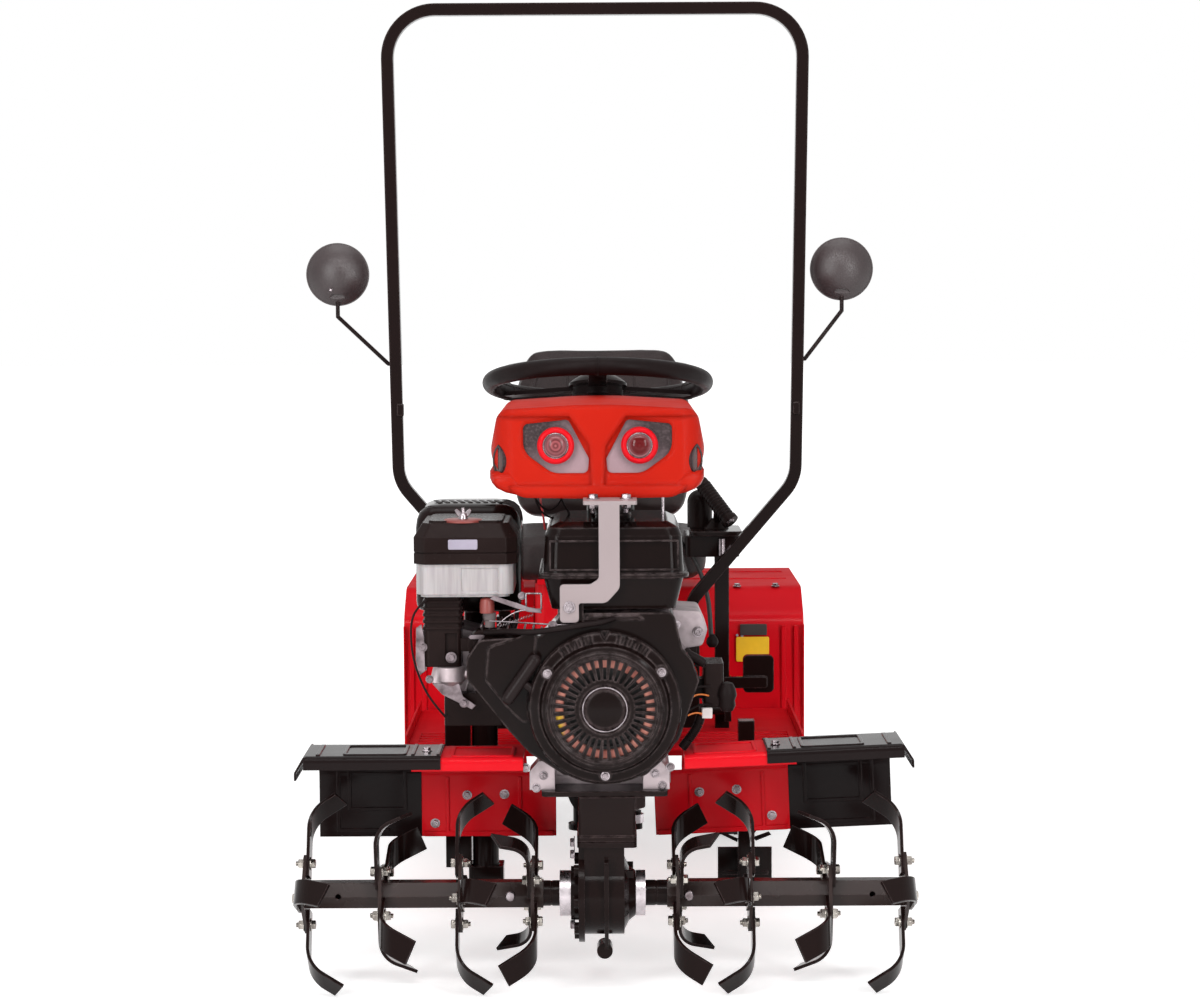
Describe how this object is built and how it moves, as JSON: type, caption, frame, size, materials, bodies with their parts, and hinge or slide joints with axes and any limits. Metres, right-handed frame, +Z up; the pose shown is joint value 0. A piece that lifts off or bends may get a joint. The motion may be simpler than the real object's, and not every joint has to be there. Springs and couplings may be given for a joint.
{
  "type": "ride-on tiller tractor",
  "caption": "Ride-on garden tiller tractor: front tine rotor under a small petrol engine, lamp fairing, steering wheel, vinyl seat, tall hoop with mirrors, steered rear wheels.",
  "frame": {"origin": "on the ground, at the middle of the machine's outline seen from above", "axes": "-Y to the front of the machine (tines), +Z up, +X to the left of a driver who faces the tines"},
  "size_m": [0.9636, 1.5831, 1.544],
  "materials": {
    "red_paint": "gloss",
    "black_paint": "satin",
    "engine_black": "gloss",
    "cast_black": "painted",
    "aluminium": "cast",
    "zinc_steel": "zinc plated",
    "grey_paint": "satin",
    "tine_steel": "gloss",
    "black_plastic": "moulded",
    "clear_plastic": "translucent",
    "tyre_rubber": "matte",
    "grip_rubber": "satin",
    "seat_vinyl": "grained",
    "lamp_glass": "clear",
    "amber_plastic": "clear",
    "lamp_chrome": "satin",
    "mirror_glass": "polished",
    "fan_copper": "satin"
  },
  "bodies": {
    "chassis": {"gear_case": "cast_black", "bearing_collars": "zinc_steel", "throttle_drum": "black_plastic", "drive_gearbox": "black_paint", "belt_cover": "black_paint", "engine_mount": "black_paint", "crankcase": "aluminium", "cylinder_head": "aluminium", "fan_housing": "engine_black", "recoil_cover": "engine_black", "recoil_fan": "fan_copper", "recoil_grip": "black_plastic", "fuel_tank": "engine_black", "air_cleaner_cover": "black_plastic", "air_cleaner_bowl": "clear_plastic", "intake_body": "black_plastic", "carburettor": "aluminium", "muffler_guard": "black_paint", "control_boxes": "black_plastic", "lamp_bracket": "grey_paint", "fairing": "red_paint", "lamp_bezels": "lamp_chrome", "lamp_lenses": "lamp_glass", "indicator_lamps": "amber_plastic", "steering_column": "black_paint", "hoop": "black_paint", "mirror_shells": "black_plastic", "mirror_arms": "black_paint", "mirror_glasses": "mirror_glass", "guard_centre": "red_paint", "guard_wings": "black_paint", "main_frame": "black_paint", "depth_skids": "black_paint", "rear_axle": "black_paint", "fender_left": "red_paint", "fender_right": "red_paint", "footboards": "black_paint", "seat_pedestal": "red_paint", "seat_cushion": "seat_vinyl", "seat_back": "seat_vinyl", "brake_pedal": "black_paint", "lever_console": "black_paint", "hand_levers": "black_plastic", "rear_hitch": "black_paint"},
    "steering_wheel": {"steering_rim": "grip_rubber", "steering_spokes": "grey_paint"},
    "pitman": {"pitman_arm": "black_paint"},
    "drag_link": {"drag_link": "zinc_steel"},
    "tie_rod": {"tie_rod": "zinc_steel"},
    "knuckle_left": {"knuckle_left": "black_paint"},
    "knuckle_right": {"knuckle_right": "black_paint"},
    "wheel_left": {"rim_left": "grey_paint", "tyre_left": "tyre_rubber"},
    "wheel_right": {"rim_right": "grey_paint", "tyre_right": "tyre_rubber"},
    "rotor": {"rotor_shaft": "zinc_steel", "shaft_sleeves": "cast_black", "tine_tubes": "tine_steel", "tine_blades": "tine_steel"}
  },
  "joints": [
    {"name": "steering_turn", "type": "hinge", "parent": "chassis", "child": "steering_wheel", "pos_m": [0.0092, -0.204, 0.913], "axis": [0, 0.1908, 0.9816], "range_deg": [-396, 396]},
    {"name": "pitman_swing", "type": "hinge", "parent": "chassis", "child": "pitman", "pos_m": [-0.0228, -0.304, 0.25], "axis": [0, 0, 1], "range_deg": [-22.01, 22.01]},
    {"name": "drag_link_pivot", "type": "hinge", "parent": "pitman", "child": "drag_link", "pos_m": [0.0672, -0.304, 0.2], "axis": [0, 0, 1], "range_deg": [-22.01, 22.01]},
    {"name": "knuckle_left_turn", "type": "hinge", "parent": "chassis", "child": "knuckle_left", "pos_m": [-0.1478, 0.536, 0.25], "axis": [0, 0, 1], "range_deg": [-22.01, 22.01]},
    {"name": "knuckle_right_turn", "type": "hinge", "parent": "chassis", "child": "knuckle_right", "pos_m": [0.1822, 0.536, 0.25], "axis": [0, 0, 1], "range_deg": [-22.01, 22.01]},
    {"name": "tie_rod_pivot", "type": "hinge", "parent": "knuckle_left", "child": "tie_rod", "pos_m": [-0.1478, 0.636, 0.2], "axis": [0, 0, 1], "range_deg": [-22.01, 22.01]},
    {"name": "wheel_left_spin", "type": "hinge", "parent": "knuckle_left", "child": "wheel_left", "pos_m": [-0.2378, 0.536, 0.207], "axis": [1, 0, 0], "continuous": true},
    {"name": "wheel_right_spin", "type": "hinge", "parent": "knuckle_right", "child": "wheel_right", "pos_m": [0.2722, 0.536, 0.207], "axis": [1, 0, 0], "continuous": true},
    {"name": "rotor_spin", "type": "hinge", "parent": "chassis", "child": "rotor", "pos_m": [0.0172, -0.634, 0.15314], "axis": [1, 0, 0], "continuous": true}
  ],
  "couplings": [
    {"joint": "pitman_swing", "follows": "steering_turn", "ratio": -0.055556},
    {"joint": "drag_link_pivot", "follows": "steering_turn", "ratio": 0.055556},
    {"joint": "knuckle_left_turn", "follows": "steering_turn", "ratio": -0.055556},
    {"joint": "knuckle_right_turn", "follows": "steering_turn", "ratio": -0.055556},
    {"joint": "tie_rod_pivot", "follows": "steering_turn", "ratio": 0.055556}
  ]
}
